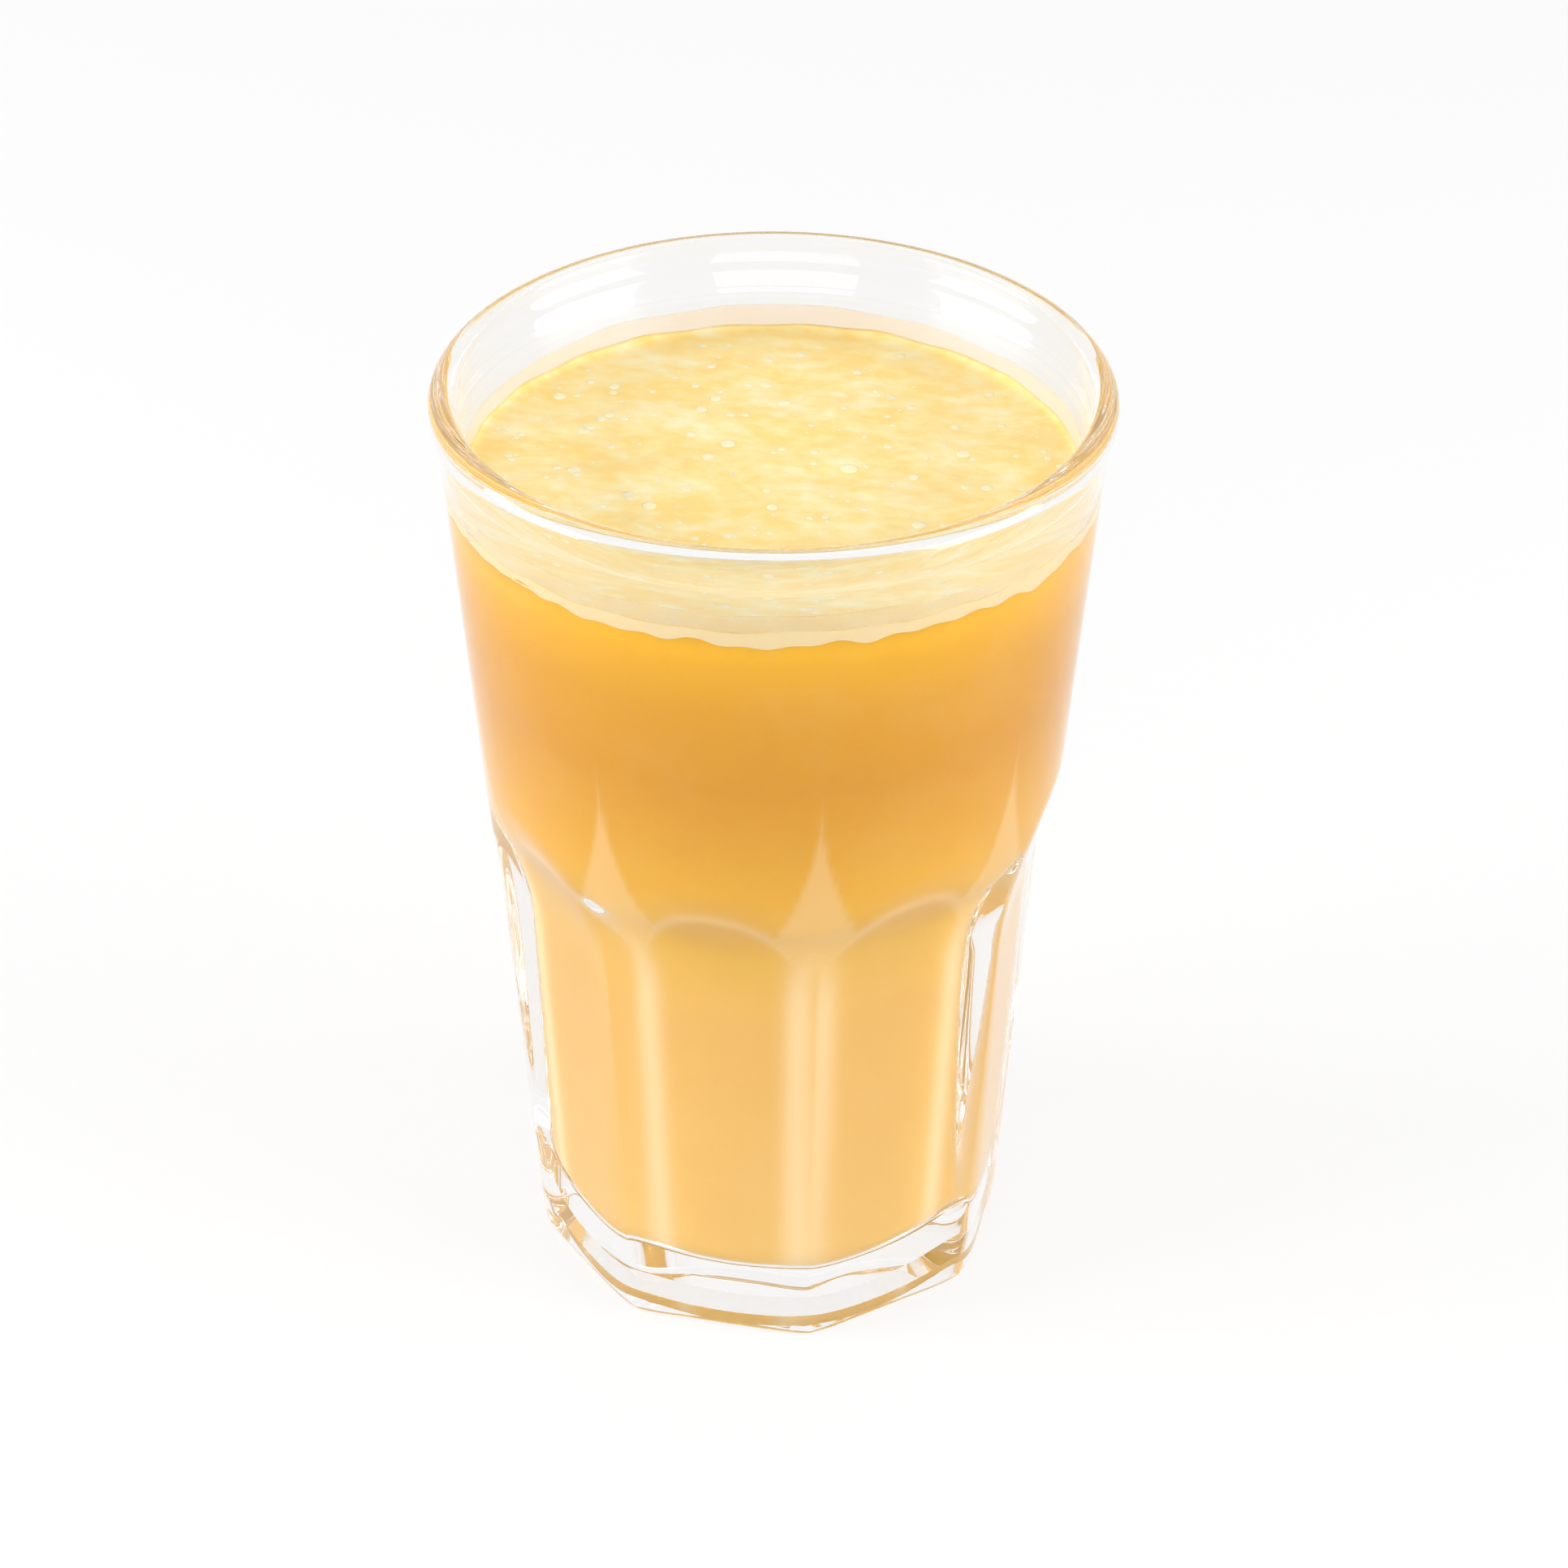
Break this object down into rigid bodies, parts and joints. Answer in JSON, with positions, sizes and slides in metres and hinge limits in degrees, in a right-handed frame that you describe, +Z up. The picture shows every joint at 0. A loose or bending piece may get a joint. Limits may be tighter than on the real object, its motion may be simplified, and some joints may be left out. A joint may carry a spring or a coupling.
{
  "type": "milkshake in a glass",
  "caption": "Tall faceted glass tumbler with a round flared upper half and rolled rim, filled near the rim with a thick, frothy yellow-orange milkshake.",
  "frame": {"origin": "centre of the foot, on the surface that the glass stands on", "axes": "+Z up along the glass's axis; one facet of the lower half faces -Y"},
  "size_m": [0.09, 0.09, 0.132],
  "materials": {
    "clear_glass": "gloss",
    "milkshake": "satin"
  },
  "bodies": {
    "root": {"glass_tumbler": "clear_glass", "milkshake": "milkshake"}
  },
  "joints": []
}
